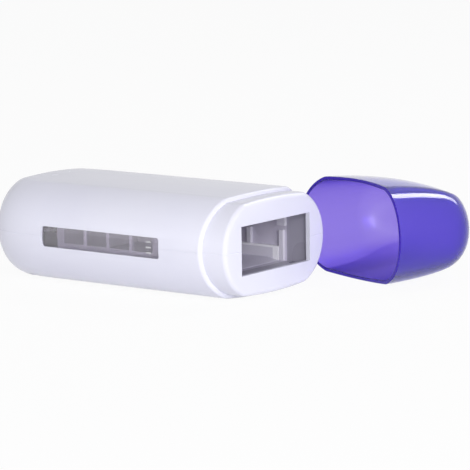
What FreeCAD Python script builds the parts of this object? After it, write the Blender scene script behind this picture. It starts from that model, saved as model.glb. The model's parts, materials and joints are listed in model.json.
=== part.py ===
"""Handheld roll-on wax heater with its cap lifted off and laid beside it.

The heater lies on one wide face.  X runs along it, from the rounded base end (-X) to the
mouth that takes the wax cartridge (+X).  Y runs across the wide face; the level window looks
out along -Y.  Z is the thickness, up.  The origin is the middle of the mouth, in its face.
"""
import FreeCAD, Part
import Sketcher
import math
import os
import re
from FreeCAD import Placement, Rotation, Vector

DIMENSIONS = {
    # outside of the heater
    "body_length": (156.5, "mouth face to base end"),
    "body_width": (84.8, "across the wide face"),
    "body_height": (51.0, "thickness between the two wide faces"),
    "side_relief": (0.2, "side arc radius above half the thickness"),
    "crown_radius": (270.0, "curve across each wide face"),
    "corner_radius": (10.3, "soft edge between wide face and side"),
    "plan_round": (49.0, "length over which the plan outline closes"),
    "plan_power": (3.8, "fullness of the plan outline at the base"),
    "edge_round": (20.0, "length over which the thickness closes"),
    "edge_power": (3.0, "fullness of the thickness at the base"),
    "shoulder_fillet": (1.5, "rounding of the shoulder"),
    # neck and mouth
    "neck_length": (14.5, "shoulder to mouth face, at the two sides"),
    "joint_bow": (5.5, "bow of the joint with the cap, in the middle of the wide face"),
    "neck_fillet": (2.4, "rounding of the neck round the mouth face"),
    "mouth_width": (55.3, "opening for the cartridge, across"),
    "mouth_height": (24.0, "opening for the cartridge, thickness"),
    "face_wall": (2.4, "wall round the mouth"),
    # shells
    "shell_wall": (2.2, "moulded wall"),
    "lip_height": (1.2, "tongue of the lower shell inside the upper one"),
    "rib_wall": (1.6, "ribs that hold the cradle"),
    "rib_front": (16.4, "mouth face to the front ribs"),
    "boss_radius": (3.6, "screw boss"),
    "screw_radius": (1.4, "shell screw shank"),
    "head_radius": (2.7, "shell screw head"),
    "head_height": (2.0, "shell screw head"),
    "head_seat": (9.0, "depth of the parting plane above the screw seats"),
    "screw_length": (14.0, "shell screw under its head"),
    "screw_spacing": (48.0, "between the two shell screws"),
    "screw_inset": (22.5, "base end to the shell screws"),
    "rib_gap": (36.0, "gap in the lower back rib that lets the leads through"),
    "screw_room": (0.2, "clearance round the shell screws and past their tips"),
    "fit": (0.1, "clearance between pieces that are put together once"),
    # level window
    "window_start": (39.2, "mouth face to the near end of the window"),
    "window_past": (2.0, "window past the back of the cradle"),
    "window_height": (10.2, "window, thickness"),
    "window_corner": (1.5, "corner radius of the window"),
    "pane_flange": (1.8, "rim of the pane behind the wall"),
    "pane_back": (1.0, "thickness of that rim"),
    # cradle that guides the cartridge
    "wiring_room": (20.3, "back of the cradle to the tails of the inlet's pins"),
    "cradle_wall": (1.6, "cradle wall"),
    "side_room": (2.0, "cradle wall beside the opening, each side"),
    "top_room": (1.8, "cradle wall above and below the opening"),
    "guide_rise": (1.8, "guide ribs on the cradle's side walls"),
    "guide_width": (2.4, "guide ribs along the body"),
    "guide_front": (18.0, "mouth face to the first guide rib"),
    "guide_pitch": (20.0, "between guide ribs"),
    "guide_top": (1.5, "top of the guide ribs above the parting plane"),
    "hood_length": (4.8, "guide's upper end under the cradle's roof, along the body"),
    "hood_foot": (3.8, "foot of that upper end above the parting plane"),
    "slot_start": (51.0, "mouth face to the first sight slot of the cradle"),
    "slot_end": (4.4, "last sight slot to the back of the cradle"),
    "slot_bar": (1.8, "bar between two sight slots"),
    "slot_height": (9.0, "sight slot, thickness"),
    # heater sandwich under the cartridge
    "plate_wall": (1.5, "aluminium heating plate"),
    "plate_front": (19.5, "mouth face to the plate"),
    "plate_gap": (1.9, "plate to the cradle's back wall"),
    "flange_height": (5.8, "thick sides of the plate above its floor"),
    "flange_wall": (2.2, "thick sides of the plate"),
    "hatch_margin": (5.0, "plate past the hatch in the cradle floor"),
    "mica_wall": (0.4, "mica sheet"),
    "mica_room": (0.5, "mica smaller than the hatch"),
    "element_inset": (2.0, "element shorter than the mica"),
    "clamp_wall": (1.0, "steel clamp plate"),
    "clamp_margin": (3.0, "clamp plate past the hatch"),
    "stud_radius": (1.5, "studs of the heating plate"),
    "stud_room": (0.3, "round each stud"),
    "stud_inset": (9.0, "studs from the edges of the hatch"),
    "nut_width": (5.5, "across the flats of a stud nut"),
    "nut_height": (2.4, "stud nut"),
    "thermostat_length": (19.0, "thermostat case"),
    "thermostat_width": (7.6, "thermostat case"),
    "thermostat_height": (3.4, "thermostat case"),
    "clip_wall": (0.5, "spring clip over the thermostat"),
    "clip_width": (6.0, "spring clip over the thermostat"),
    "clip_foot": (6.5, "feet of the clip"),
    "fuse_radius": (1.9, "thermal fuse case"),
    "fuse_length": (10.0, "thermal fuse case"),
    "fuse_offset": (15.0, "thermal fuse from the middle"),
    "lead_radius": (1.1, "insulated lead"),
    "lead_stub": (6.0, "straight run of a lead out of the inlet"),
    "lead_room": (4.5, "leads behind the cradle"),
    "lead_middle": (6.0, "leads from the middle, where they pass the nuts"),
    "lead_dip": (1.2, "lowest lead under the fuse's axis"),
    # power inlet in the base end
    "inlet_wall": (1.4, "wall round the recess"),
    "inlet_depth": (18.0, "inlet housing, along the body"),
    "inlet_flange": (2.0, "rim of the housing behind the wall"),
    "inlet_flange_wall": (2.0, "thickness of that rim"),
    "inlet_set": (1.2, "inlet face from the farthest point of the base end"),
    "rim_set": (1.0, "rim further in than the wall at the base end"),
    "socket_width": (15.6, "figure-eight recess, across"),
    "socket_height": (8.6, "figure-eight recess, thickness"),
    "socket_depth": (12.5, "figure-eight recess"),
    "pin_spacing": (8.6, "between the two pins"),
    "pin_radius": (1.2, "pin"),
    "pin_reach": (9.5, "pin out of the floor of the recess"),
    "pin_tail": (5.0, "pin behind the housing"),
    # cap
    "cap_length": (56.6, "rim to closed end"),
    "cap_wall": (1.7, "moulded wall"),
    "cap_clearance": (0.3, "between cap and neck, all round"),
    "cap_plan_round": (22.1, "length over which the plan outline closes"),
    "cap_plan_power": (2.26, "fullness of the plan outline"),
    "cap_edge_round": (76.2, "length over which the thickness closes"),
    "cap_edge_power": (3.05, "fullness of the thickness"),
    "cap_along": (5.5, "middle of the cap's rim from the mouth, along X"),
    "cap_across": (53.0, "middle of the cap's rim from the mouth, along Y"),
    "cap_turn": (71.5, "turn of the laid-off cap about Z, degrees"),
}

doc = FreeCAD.newDocument("roll_on_wax_heater")
sizes = doc.addObject("Spreadsheet::Sheet", "Sizes")
for row, (alias, (value, meaning)) in enumerate(DIMENSIONS.items(), start=1):
    sizes.set(f"A{row}", alias)
    sizes.set(f"B{row}", str(value))
    sizes.set(f"C{row}", meaning)
    sizes.setAlias(f"B{row}", alias)
doc.recompute()


def full(expression):
    """The expression with the sheet's name in front of each alias."""
    return re.sub("[a-z_]+", lambda word: f"Sizes.{word[0]}" if word[0] in DIMENSIONS else word[0],
                  expression)


def number(expression):
    """Value of an expression in the sheet's aliases."""
    return float(sizes.evalExpression(full(str(expression))))


def bind(item, **expressions):
    """Tie properties of an object to the sheet; at_x means Placement.Base.x."""
    for name, expression in expressions.items():
        path = f".Placement.Base.{name[-1]}" if name.startswith("at_") else name
        item.setExpression(path, full(str(expression)))
    return item


def box(name, length, width, height, x="0", y="0", z="0"):
    """Box centred on x, y and z."""
    item = doc.addObject("Part::Box", name)
    bind(item, Length=length, Width=width, Height=height)
    return bind(item, at_x=f"{x} - ( {length} ) / 2", at_y=f"{y} - ( {width} ) / 2",
                at_z=f"{z} - ( {height} ) / 2")


AXES = {
    "X": Rotation(Vector(0, 1, 0), 90),
    "Z": Rotation(),
}


def cylinder(name, radius, height, x="0", y="0", z="0", axis="Z"):
    """Cylinder that starts at x, y, z and runs along +axis."""
    item = doc.addObject("Part::Cylinder", name)
    item.Placement = Placement(Vector(), AXES[axis])
    bind(item, Radius=radius, Height=height)
    return bind(item, at_x=x, at_y=y, at_z=z)


def fuse(name, *parts):
    item = doc.addObject("Part::MultiFuse", name)
    item.Shapes = list(parts)
    item.Refine = True
    return item


def common(name, base, tool):
    item = doc.addObject("Part::Common", name)
    item.Base = base
    item.Tool = tool
    return item


def cut(name, base, *tools):
    item = doc.addObject("Part::Cut", name)
    item.Base = base
    item.Tool = tools[0] if len(tools) == 1 else fuse(f"{name}_tools", *tools)
    return item


def corner_centre(half_wide, half_high, side, crown, corner):
    """Centre of the corner arc that touches the side arc and the crown arc."""
    to_side = Vector(half_wide - side, 0, 0)
    to_crown = Vector(0, half_high - crown, 0)
    apart = to_crown - to_side
    reach_side = side - corner
    reach_crown = crown - corner
    along = (reach_side**2 - reach_crown**2 + apart.Length**2) / (2 * apart.Length)
    off = math.sqrt(reach_side**2 - along**2)
    unit = apart * (1 / apart.Length)
    return to_side + unit * along + Vector(-unit.y, unit.x, 0) * off


def draw_section(sketch, half_wide, half_high, side, crown, corner):
    """Closed outline of eight tangent arcs: side, corner, crown, corner, and the same again.

    Each value is an expression; the arcs are drawn where the constraints will hold them.
    """
    wide, high, side_r, crown_r, corner_r = [
        number(value) for value in (half_wide, half_high, side, crown, corner)]
    centre = corner_centre(wide, high, side_r, crown_r, corner_r)
    turn_side = math.atan2(centre.y, centre.x - wide + side_r)
    turn_crown = math.atan2(centre.y - high + crown_r, centre.x)
    turns = [-turn_side, turn_side, turn_crown, math.pi - turn_crown, math.pi - turn_side]
    turns += [turn + math.pi for turn in turns[1:]]
    middles = [Vector(wide - side_r, 0, 0), centre, Vector(0, high - crown_r, 0),
               Vector(-centre.x, centre.y, 0)]
    middles += [middle * -1 for middle in middles]
    radii = [side_r, corner_r, crown_r, corner_r] * 2
    for middle, radius, start, end in zip(middles, radii, turns, turns[1:]):
        circle = Part.Circle(middle, Vector(0, 0, 1), radius)
        sketch.addGeometry(Part.ArcOfCircle(circle, start, end), False)
    for arc in range(8):
        sketch.addConstraint(Sketcher.Constraint("Tangent", arc, 2, (arc + 1) % 8, 1))
    for first, second in ((1, 3), (1, 5), (1, 7), (0, 4), (2, 6)):
        sketch.addConstraint(Sketcher.Constraint("Equal", first, second))
    sketch.addConstraint(Sketcher.Constraint("PointOnObject", 0, 3, -1))
    sketch.addConstraint(Sketcher.Constraint("PointOnObject", 2, 3, -2))
    sketch.addConstraint(Sketcher.Constraint("Symmetric", 0, 3, 4, 3, -1, 1))
    sketch.addConstraint(Sketcher.Constraint("Symmetric", 2, 3, 6, 3, -1, 1))
    held = (
        ("SideRadius", ("Radius", 0, side_r), side),
        ("CornerRadius", ("Radius", 1, corner_r), corner),
        ("CrownRadius", ("Radius", 2, crown_r), crown),
        ("SideCentre", ("DistanceX", -1, 1, 0, 3, wide - side_r), f"{half_wide} - ( {side} )"),
        ("CrownCentre", ("DistanceY", 2, 3, -1, 1, crown_r - high), f"{crown} - ( {half_high} )"),
    )
    for name, arguments, expression in held:
        index = sketch.addConstraint(Sketcher.Constraint(*arguments))
        sketch.renameConstraint(index, name)
        sketch.setExpression(f"Constraints.{name}", full(expression))


ACROSS = Rotation(Vector(0, 1, 0), Vector(0, 0, 1), Vector(1, 0, 0))


def section(name, x, inset, wide_share="1", high_share="1"):
    """Outline of the body at x, moved inwards by inset and closed to the two shares."""
    sketch = doc.addObject("Sketcher::SketchObject", name)
    sketch.Placement = Placement(Vector(), ACROSS)
    bind(sketch, at_x=x)
    draw_section(
        sketch,
        f"( body_width / 2 - {inset} ) * {wide_share}",
        f"( body_height / 2 - {inset} ) * {high_share}",
        f"( body_height / 2 + side_relief - {inset} ) * {high_share}",
        f"( crown_radius - {inset} ) * {high_share}",
        f"( corner_radius - {inset} ) * {high_share}",
    )
    return sketch


def closing(distance, length, power):
    """Share of the full size that is left at a distance from a rounded end."""
    return f"( 1 - max( 0 ; 1 - {distance} / {length} ) ^ {power} ) ^ ( 1 / {power} )"


# Share of the rounded length that is left at each section of the base end, and the section
# where the thickness begins to close as well.
END_SHARES = (1.0, 0.84, 0.68, 0.54, 0.41, 0.33, 0.25, 0.175, 0.11, 0.055, 0.018)
END_TURN = 4
# The same for the cap, as shares of its length; there the plan outline begins to close.
CAP_SHARES = (1.0, 0.8, 0.6, 0.42, 0.33, 0.25, 0.175, 0.11, 0.055, 0.015)
CAP_TURN = 3


def loft(name, sections):
    item = doc.addObject("Part::Loft", name)
    item.Sections = sections
    item.Solid = True
    item.Ruled = False
    return item


def rounded_end(name, sections, turn):
    """Closing end in two spans that meet at a section, so that neither one overshoots."""
    return fuse(name, loft(f"{name}_front", sections[:turn + 1]),
                loft(f"{name}_back", sections[turn:]))


def prism(name, sketch, length):
    """Extrusion of a closed sketch along +X."""
    item = doc.addObject("Part::Extrusion", name)
    item.Base = sketch
    item.DirMode = "Custom"
    item.Dir = Vector(1, 0, 0)
    item.Solid = True
    return bind(item, LengthFwd=length)


def rounded_edges(name, base, radius, chosen):
    """Fillet of the edges of base that the test chooses."""
    doc.recompute()
    item = doc.addObject("Part::Fillet", name)
    item.Base = base
    edges = enumerate(base.Shape.Edges, start=1)
    item.Edges = [(index, radius, radius) for index, edge in edges if chosen(edge)]
    return item


def lies_past(x):
    """Test for an edge whose two ends are no further back than x."""
    return lambda edge: all(vertex.X > x - 0.01 for vertex in edge.Vertexes)


BOW_RADIUS = "( ( body_width ^ 2 / 4 + joint_bow ^ 2 ) / ( 2 * joint_bow ) )"


def bowed_block(name, front, inset="0"):
    """Upright round block whose side is the bowed joint of cap and shells, at -front at Y = 0."""
    return cylinder(name, f"{BOW_RADIUS} - {inset}", "body_height * 2",
                    f"0 - ( {front} ) - {BOW_RADIUS}", "0", "0 - body_height")


def body_form(name, inset, front_radius=0):
    """The heater's body from the shoulder to the base end, moved inwards by inset."""
    plan = f"( plan_round - {inset} )"
    edge = f"( edge_round - {inset} )"
    end = f"( body_length - {inset} )"
    sections = []
    for count, share in enumerate(END_SHARES):
        distance = f"{plan} * {share}"
        sections.append(section(
            f"{name}_end{count}", f"0 - {end} + {distance}", inset,
            closing(distance, plan, "plan_power"), closing(distance, edge, "edge_power")))
    blank = prism(f"{name}_blank", sections[0],
                  f"{end} - {plan} - ( neck_length - joint_bow ) / 2")
    barrel = common(f"{name}_barrel", blank,
                    bowed_block(f"{name}_bow", "neck_length - joint_bow", inset))
    if front_radius:
        barrel = rounded_edges(f"{name}_shoulder", barrel, front_radius,
                               lies_past(-number("neck_length")))
    return fuse(name, barrel, rounded_end(f"{name}_round", sections, END_TURN))


def neck_form(name, inset, back, front, front_radius=0):
    """Prism of the section moved inwards, between two distances behind the mouth face."""
    outline = section(f"{name}_section", f"0 - ( {back} )", inset)
    item = prism(name, outline, f"{back} - ( {front} )")
    if front_radius:
        item = rounded_edges(f"{name}_rim", item, front_radius, lies_past(-number(front)))
    return item


def rounded_box(name, length, width, height, radius, x, y, z, along="Y"):
    """Box centred on x, y and z whose edges along one direction are rounded."""
    item = box(f"{name}_block", length, width, height, x, y, z)
    directions = {"X": Vector(1, 0, 0), "Y": Vector(0, 1, 0), "Z": Vector(0, 0, 1)}

    def runs_along(edge):
        return edge.tangentAt(edge.FirstParameter).cross(directions[along]).Length < 0.01

    return rounded_edges(name, item, radius, runs_along)


def slot_form(name, length, width, height, x, y="0", z="0"):
    """Block with a round side at +Y and -Y, along X: the outline of a figure-eight connector."""
    middle = box(f"{name}_middle", length, f"{width} - {height}", height, x, y, z)
    ends = []
    for side, sign in (("left", "-"), ("right", "+")):
        ends.append(cylinder(f"{name}_{side}", f"{height} / 2", length, f"{x} - ( {length} ) / 2",
                             f"{y} {sign} ( {width} - {height} ) / 2", z, "X"))
    return fuse(name, middle, *ends)


def named(item, label):
    """Mark an object as a piece of the heater; its label names its file."""
    item.Label = label
    PIECES.append(item)
    return item


PIECES = []
SIDES = ((-1, "near"), (1, "far"))

# Shared forms: the moulded shells are cut out of these.
NECK_INSET = "( cap_wall + cap_clearance )"
outer = fuse(
    "outer",
    body_form("outer_body", "0", number("shoulder_fillet")),
    neck_form("outer_neck", NECK_INSET, "neck_length + neck_fillet", "0", number("neck_fillet")),
)
middle = body_form("middle_body", "( shell_wall / 2 )")
cavity = fuse(
    "cavity",
    body_form("cavity_body", "shell_wall"),
    neck_form("cavity_neck", f"( {NECK_INSET} + shell_wall )", "neck_length + shell_wall",
              "face_wall"),
)
MID_LENGTH = "body_length / 2"
SPAN = "body_length * 1.5"
above = box("above_parting", SPAN, SPAN, "body_height", f"0 - {MID_LENGTH}", "0",
            "body_height / 2")
below = box("below_parting", SPAN, SPAN, "body_height", f"0 - {MID_LENGTH}", "0",
            "0 - body_height / 2")
# The cradle fills what the inlet and its wiring leave, and the window follows the cradle.
CRADLE_LENGTH = "( body_length - inlet_set - inlet_depth - pin_tail - wiring_room )"
WINDOW_LENGTH = f"( {CRADLE_LENGTH} + window_past - window_start )"
WINDOW_X = f"0 - window_start - {WINDOW_LENGTH} / 2"
INLET_X = "inlet_set + inlet_depth / 2 - body_length"
NOSE_WIDTH = "( socket_width + 2 * inlet_wall )"
NOSE_HEIGHT = "( socket_height + 2 * inlet_wall )"
SCREW_X = "0 - body_length + screw_inset"

# Sizes of the cradle and of the sandwich that hangs from its floor.
INNER_HALF = "( mouth_width / 2 + side_room )"
INNER_HIGH = "( mouth_height / 2 + top_room )"
CRADLE_BOTTOM = f"( 0 - {INNER_HIGH} - cradle_wall )"
CLAMP_BOTTOM = f"( {CRADLE_BOTTOM} - clamp_wall )"
FUSE_Z = f"( {CLAMP_BOTTOM} - fuse_radius )"
PLATE_LENGTH = f"( {CRADLE_LENGTH} - cradle_wall - plate_gap - plate_front )"
PLATE_X = f"( 0 - plate_front - {PLATE_LENGTH} / 2 )"
HATCH_LENGTH = f"( {PLATE_LENGTH} - 2 * hatch_margin )"
HATCH_WIDTH = f"( 2 * {INNER_HALF} - 2 * hatch_margin )"
STUDS = [(f"{PLATE_X} {sx} ( {HATCH_LENGTH} / 2 - stud_inset )",
          f"0 {sy} ( {HATCH_WIDTH} / 2 - stud_inset )", count)
         for count, (sx, sy) in enumerate((("-", "-"), ("-", "+"), ("+", "-"), ("+", "+")))]


def rib(name, x, bottom, top):
    """Wall across the shell that holds the cradle, following the shell's inside."""
    wall = box(f"{name}_wall", "rib_wall", "body_width", f"( {top} ) - ( {bottom} )", x, "0",
               f"( ( {top} ) + ( {bottom} ) ) / 2")
    return common(name, wall, middle)


RIB_PLACES = (("front", "0 - rib_front - rib_wall / 2"),
              ("back", f"0 - {CRADLE_LENGTH} + rib_wall * 1.5"))


def window_opening(name, margin, thickness, y):
    """Rounded prism through the window side, larger than the window by the margin."""
    return rounded_box(name, f"{WINDOW_LENGTH} + 2 * ( {margin} )", thickness,
                       f"window_height + 2 * ( {margin} )",
                       number(f"window_corner + {margin}"), WINDOW_X, y, "0")


SLOT_COUNT = 4
WINDOW_Y = "0 - body_width / 2"
mouth = box("mouth_opening", "face_wall * 4", "mouth_width", "mouth_height")
window_cut = window_opening("window_cut", "0", "shell_wall * 6", WINDOW_Y)
inlet_cut = slot_form("inlet_cut", "inlet_depth", f"( {NOSE_WIDTH} + 2 * fit )",
                      f"( {NOSE_HEIGHT} + 2 * fit )", "0 - body_length")


def make_upper_shell():
    """Upper half with its rebate for the lower half's lip, ribs and screw bosses."""
    skin = cut("upper_skin", common("upper_half", outer, above), cavity)
    rebate = common("upper_rebate", middle, box(
        "upper_rebate_slice", SPAN, SPAN, "( lip_height + fit ) * 2", f"0 - {MID_LENGTH}"))
    bosses = []
    pilots = []
    for side, word in SIDES:
        y = f"{side} * screw_spacing / 2"
        boss = cylinder(f"upper_boss_{word}", "boss_radius", "body_height / 2", SCREW_X, y)
        bosses.append(common(f"upper_boss_{word}_trimmed", boss, middle))
        pilots.append(cylinder(f"upper_pilot_{word}", "screw_radius",
                               "screw_length - head_seat + screw_room", SCREW_X, y))
    ribs = [rib(f"upper_rib_{word}", x, f"{INNER_HIGH} + cradle_wall", "body_height / 2")
            for word, x in RIB_PLACES]
    hollow = cut("upper_rebated", skin, rebate)
    whole = fuse("upper_whole", hollow, *bosses, *ribs)
    return named(cut("upper_shell", whole, mouth, window_cut, inlet_cut, *pilots), "upper_shell")


def make_lower_shell():
    """Lower half with its lip, ribs under the cradle and two deep screw wells."""
    skin = cut("lower_skin", common("lower_half", outer, below), cavity)
    lip_slice = box("lower_lip_slice", SPAN, SPAN, "lip_height", f"0 - {MID_LENGTH}", "0",
                    "lip_height / 2")
    lip_body = body_form("lip_body", "( shell_wall / 2 + fit )")
    lip = cut("lower_lip", common("lower_lip_ring", lip_body, lip_slice), cavity,
              box("lip_front", "neck_length * 4", SPAN, "body_height"))
    bosses = []
    wells = []
    for side, word in SIDES:
        y = f"{side} * screw_spacing / 2"
        boss = cylinder(f"lower_boss_{word}", "head_radius + shell_wall", "body_height / 2",
                        SCREW_X, y, "0 - body_height / 2")
        bosses.append(common(f"lower_boss_{word}_trimmed", boss, middle))
        wells.append(cylinder(f"lower_well_{word}", "head_radius + screw_room", "body_height",
                              SCREW_X, y, "0 - head_seat - body_height"))
        wells.append(cylinder(f"lower_hole_{word}", "screw_radius + screw_room", "body_height",
                              SCREW_X, y, "0 - body_height / 2"))
    ribs = [rib(f"lower_rib_{word}", x, "0 - body_height / 2", CRADLE_BOTTOM)
            for word, x in RIB_PLACES]
    lead_gap = box("lower_lead_gap", "rib_wall * 3", "rib_gap",
                   f"body_height / 2 - shell_wall + {CRADLE_BOTTOM}", RIB_PLACES[1][1], "0",
                   f"( shell_wall - body_height / 2 + {CRADLE_BOTTOM} ) / 2")
    rib_back = cut("lower_rib_gapped", ribs[1], lead_gap)
    whole = fuse("lower_whole", skin, lip, *bosses, ribs[0], rib_back)
    return named(cut("lower_shell", whole, mouth, window_cut, inlet_cut, *wells), "lower_shell")


def make_window_pane():
    """Clear pane: a plug in the window and a rim behind the shell's wall."""
    plug = common("pane_plug", middle, window_opening("pane_plug_outline", "0 - fit",
                                                      "shell_wall * 6", WINDOW_Y))
    rim = common("pane_rim", body_form("pane_front", "( shell_wall + fit )"),
                 window_opening("pane_rim_outline", "pane_flange", "shell_wall * 6", WINDOW_Y))
    back = body_form("pane_behind", "( shell_wall + fit + pane_back )")
    return named(cut("window_pane", fuse("pane_whole", plug, rim), back), "window_pane")


def make_cradle():
    """Channel that guides the cartridge: guide ribs, sight slots and a hatch in its floor."""
    length = f"( {CRADLE_LENGTH} - face_wall - fit )"
    x = f"0 - face_wall - fit - {length} / 2"
    body = rounded_box("cradle_body", length, f"2 * ( {INNER_HALF} + cradle_wall )",
                       f"2 * ( {INNER_HIGH} + cradle_wall )", number("cradle_wall"), x, "0", "0",
                       "X")
    inside = box("cradle_inside", length, f"2 * {INNER_HALF}", f"2 * {INNER_HIGH}",
                 f"{x} + cradle_wall")
    hatch = box("cradle_hatch", HATCH_LENGTH, HATCH_WIDTH, "mouth_height", PLATE_X, "0",
                f"0 - {INNER_HIGH}")
    slots = []
    pitch = f"( {CRADLE_LENGTH} - slot_start - slot_end + slot_bar ) / {SLOT_COUNT}"
    for count in range(SLOT_COUNT):
        slots.append(box(f"cradle_slot{count}", f"{pitch} - slot_bar", "cradle_wall * 4",
                         "slot_height", f"0 - slot_start - {pitch} * {count + 0.5} + slot_bar / 2",
                         f"0 - {INNER_HALF}"))
    guides = []
    # The first guide rib stands on the cradle's floor, the second ends above the heating plate.
    feet = (f"( 0 - {INNER_HIGH} )", f"( plate_wall + flange_height + fit - {INNER_HIGH} )")
    hood = f"( {INNER_HIGH} - hood_foot )"
    for side, word in SIDES:
        y = f"{side} * ( {INNER_HALF} - guide_rise / 2 )"
        for count, foot in enumerate(feet):
            guide_x = f"0 - guide_front - guide_pitch * {count}"
            guides.append(box(f"cradle_guide_{word}{count}", "guide_width", "guide_rise",
                              f"guide_top - {foot}", guide_x, y, f"( guide_top + {foot} ) / 2"))
            guides.append(box(f"cradle_hood_{word}{count}", "hood_length", "guide_rise",
                              hood, guide_x, y, f"{INNER_HIGH} - {hood} / 2"))
    hollow = cut("cradle_hollow", body, inside, hatch, *slots)
    return named(fuse("cradle", hollow, *guides), "cradle")


def make_heat_plate():
    """Aluminium channel under the cartridge, with four threaded studs."""
    half = f"( {INNER_HALF} - fit )"
    base_z = f"0 - {INNER_HIGH} + plate_wall / 2"
    base = box("heat_plate_base", PLATE_LENGTH, f"2 * {half}", "plate_wall", PLATE_X, "0",
               base_z)
    parts = [base]
    for side, word in SIDES:
        parts.append(box(f"heat_plate_flange_{word}", PLATE_LENGTH, "flange_wall",
                         "flange_height + plate_wall", PLATE_X,
                         f"{side} * ( {half} - flange_wall / 2 )",
                         f"0 - {INNER_HIGH} + ( flange_height + plate_wall ) / 2"))
    for x, y, count in STUDS:
        reach = "( cradle_wall + clamp_wall + nut_height + stud_room )"
        parts.append(cylinder(f"heat_plate_stud{count}", "stud_radius",
                              f"{reach} + plate_wall / 2", x, y, f"0 - {INNER_HIGH} - {reach}"))
    return named(fuse("heat_plate", *parts), "heat_plate")


def sheet_with_holes(name, length, width, thickness, top):
    """Flat sheet under the heating plate with a hole round each stud."""
    sheet = box(f"{name}_blank", length, width, thickness, PLATE_X, "0",
                f"{top} - ( {thickness} ) / 2")
    holes = [cylinder(f"{name}_hole{count}", "stud_radius + stud_room", "mouth_height", x, y,
                      "0 - body_height / 2") for x, y, count in STUDS]
    return cut(name, sheet, *holes)


def make_sandwich():
    """Mica, heating element, mica and the steel plate that clamps them."""
    length = f"{HATCH_LENGTH} - mica_room"
    width = f"{HATCH_WIDTH} - mica_room"
    floor = f"( 0 - {INNER_HIGH} )"
    element_wall = "( cradle_wall - 2 * mica_wall )"
    named(sheet_with_holes("mica_cover", length, width, "mica_wall", floor), "mica_cover")
    named(sheet_with_holes("heating_element", f"{length} - element_inset", width, element_wall,
                           f"{floor} - mica_wall"), "heating_element")
    named(sheet_with_holes("mica_base", length, width, "mica_wall",
                           f"{floor} - mica_wall - {element_wall}"), "mica_base")
    named(sheet_with_holes("clamp_plate", f"{HATCH_LENGTH} + 2 * clamp_margin",
                           f"{HATCH_WIDTH} + 2 * clamp_margin", "clamp_wall", CRADLE_BOTTOM),
          "clamp_plate")


def make_nuts():
    """One hexagon nut under the clamp plate on each stud."""
    nuts = []
    for x, y, count in STUDS:
        blank = doc.addObject("Part::Prism", f"nut_blank{count}")
        blank.Polygon = 6
        bind(blank, Circumradius="nut_width / 2 / cos(30)", Height="nut_height",
             at_x=x, at_y=y, at_z=f"{CLAMP_BOTTOM} - nut_height")
        bore = cylinder(f"nut_bore{count}", "stud_radius", "nut_height * 3", x, y,
                        f"{CLAMP_BOTTOM} - nut_height * 2")
        nuts.append(cut(f"nut{count}", blank, bore))
    group = doc.addObject("Part::Compound", "stud_nuts")
    group.Links = nuts
    return named(group, "stud_nuts")


def make_thermostat():
    """Bimetal thermostat under the clamp plate and the clip that holds it there."""
    case = rounded_box("thermostat", "thermostat_length", "thermostat_width",
                       "thermostat_height", number("thermostat_width / 4"), PLATE_X, "0",
                       f"{CLAMP_BOTTOM} - thermostat_height / 2", "Z")
    named(case, "thermostat")
    span = "( thermostat_width + 2 * fit )"
    outside = box("clip_outside", "clip_width", f"{span} + 2 * clip_wall",
                  "thermostat_height + clip_wall + fit", PLATE_X, "0",
                  f"{CLAMP_BOTTOM} - ( thermostat_height + clip_wall + fit ) / 2")
    inside = box("clip_inside", "clip_width * 2", span, "( thermostat_height + fit ) * 2", PLATE_X,
                 "0", CLAMP_BOTTOM)
    feet = box("clip_feet", "clip_width", f"{span} + 2 * clip_foot", "clip_wall", PLATE_X, "0",
               f"{CLAMP_BOTTOM} - clip_wall / 2")
    bridge = fuse("clip_bridge", outside, feet)
    named(cut("thermostat_clip", bridge, inside), "thermostat_clip")
    rivets = []
    for side, word in SIDES:
        rivets.append(cylinder(f"clip_rivet_{word}", "stud_radius", "clip_wall * 2", PLATE_X,
                               f"{side} * ( {span} / 2 + clip_foot * 0.6 )",
                               f"{CLAMP_BOTTOM} - clip_wall * 3"))
    group = doc.addObject("Part::Compound", "clip_rivets")
    group.Links = rivets
    return named(group, "clip_rivets")


def make_thermal_fuse():
    """Thermal fuse: a small metal can that lies along the clamp plate."""
    can = cylinder("thermal_fuse", "fuse_radius", "fuse_length", f"{PLATE_X} - fuse_length / 2",
                   "fuse_offset", FUSE_Z, "X")
    return named(can, "thermal_fuse")


def make_inlet():
    """Inlet housing with a figure-eight recess, and its two pins."""
    nose = slot_form("inlet_nose", "inlet_depth", NOSE_WIDTH, NOSE_HEIGHT, INLET_X)
    rim = rounded_box("inlet_rim", "inlet_flange_wall", f"{NOSE_WIDTH} + 2 * inlet_flange",
                      f"{NOSE_HEIGHT} + 2 * inlet_flange", number("inlet_flange"),
                      "shell_wall + rim_set + inlet_flange_wall / 2 - body_length", "0", "0",
                      "X")
    recess = slot_form("inlet_recess", "socket_depth * 2", "socket_width", "socket_height",
                       "inlet_set - body_length")
    floor_x = "( inlet_set + socket_depth - body_length )"
    pin_length = "( pin_reach + ( inlet_depth - socket_depth ) + pin_tail )"
    bores = []
    pins = []
    for side, word in SIDES:
        y = f"{side} * pin_spacing / 2"
        bores.append(cylinder(f"inlet_bore_{word}", "pin_radius", pin_length,
                              f"{floor_x} - pin_reach", y, "0", "X"))
        pins.append(cylinder(f"inlet_pin_{word}", "pin_radius", pin_length,
                             f"{floor_x} - pin_reach", y, "0", "X"))
    named(cut("power_inlet", fuse("inlet_housing", nose, rim), recess, *bores), "power_inlet")
    group = doc.addObject("Part::Compound", "inlet_pins")
    group.Links = pins
    return named(group, "inlet_pins")


# Share of the shorter of two straight runs that the bend between them takes up.
BEND_SHARE = 0.45


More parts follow.
